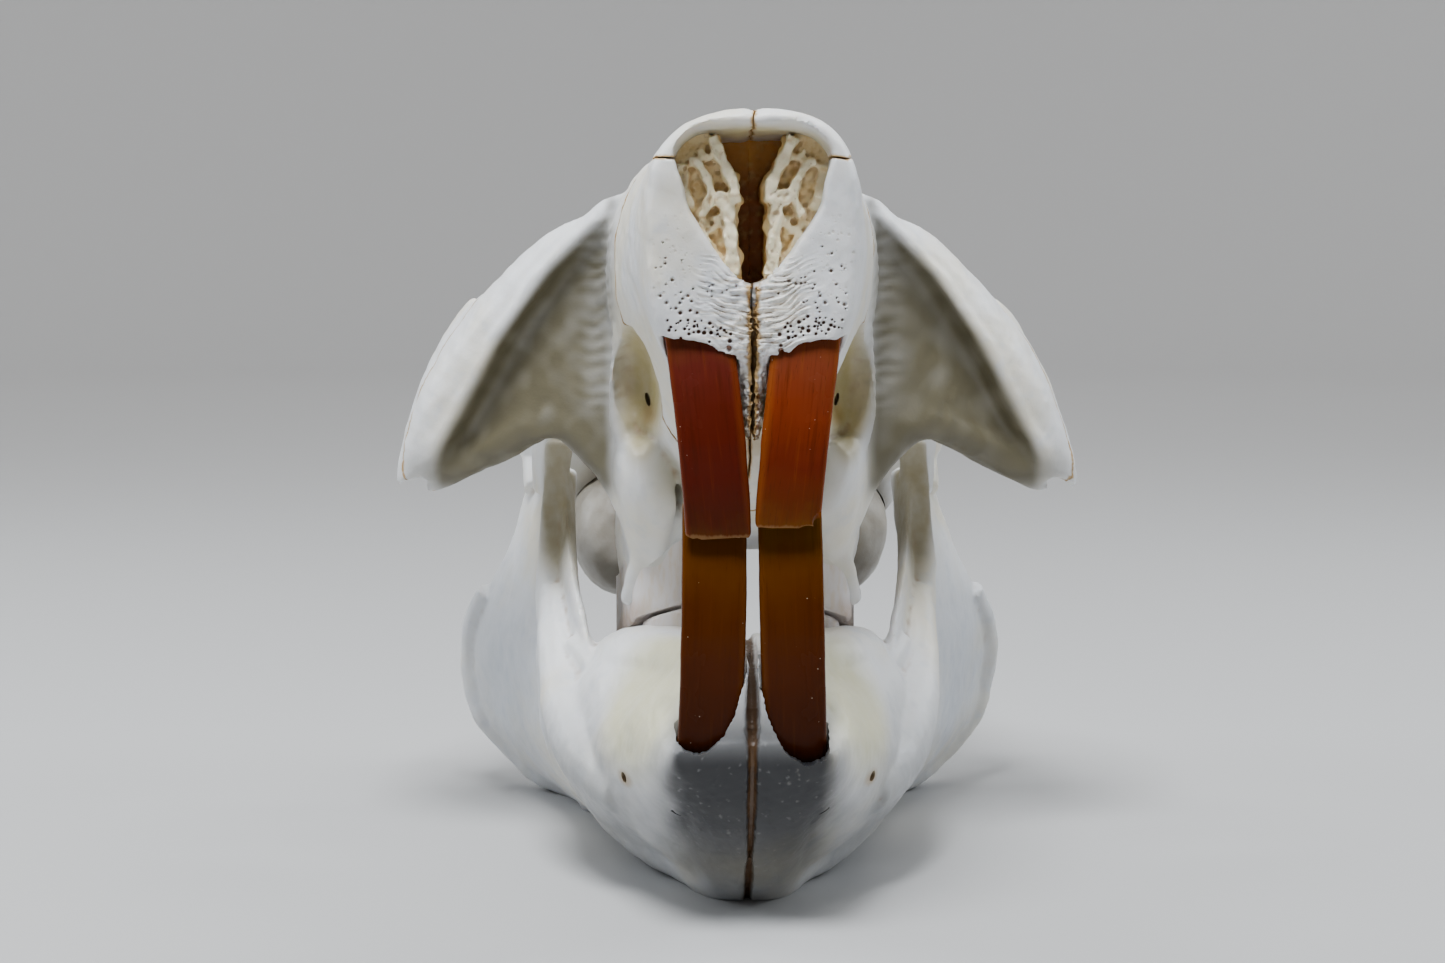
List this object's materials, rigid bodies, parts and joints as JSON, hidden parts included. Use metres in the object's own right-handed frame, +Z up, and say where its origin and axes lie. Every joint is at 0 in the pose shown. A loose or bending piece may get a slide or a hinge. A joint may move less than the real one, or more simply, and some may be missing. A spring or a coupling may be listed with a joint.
{
  "type": "beaver skull",
  "caption": "Bleached beaver skull with its lower jaw closed, resting on the chin and jaw angles, with long curved orange incisors and broad cheek plates.",
  "frame": {"origin": "middle of the footprint, on the surface that the jaw rests on", "axes": "+Z up; the snout looks along -Y, so the skull's length runs along Y; +X is to the right of someone who faces the incisors"},
  "size_m": [0.101, 0.1296, 0.1032],
  "materials": {
    "bone": "dry bleached bone, satin",
    "upper_enamel": "glossy deep orange-brown enamel",
    "lower_enamel": "glossy amber to brown enamel"
  },
  "bodies": {
    "root": {"braincase": "bone", "frontal": "bone", "nasal_left": "bone", "nasal_right": "bone", "premaxilla_left": "bone", "premaxilla_right": "bone", "maxilla_left": "bone", "maxilla_right": "bone", "jugal_left": "bone", "jugal_right": "bone", "bulla_left": "bone", "bulla_right": "bone", "mandible_left": "bone", "mandible_right": "bone", "upper_incisor_left": "upper_enamel", "upper_incisor_right": "upper_enamel", "lower_incisor_left": "lower_enamel", "lower_incisor_right": "lower_enamel"}
  },
  "joints": []
}
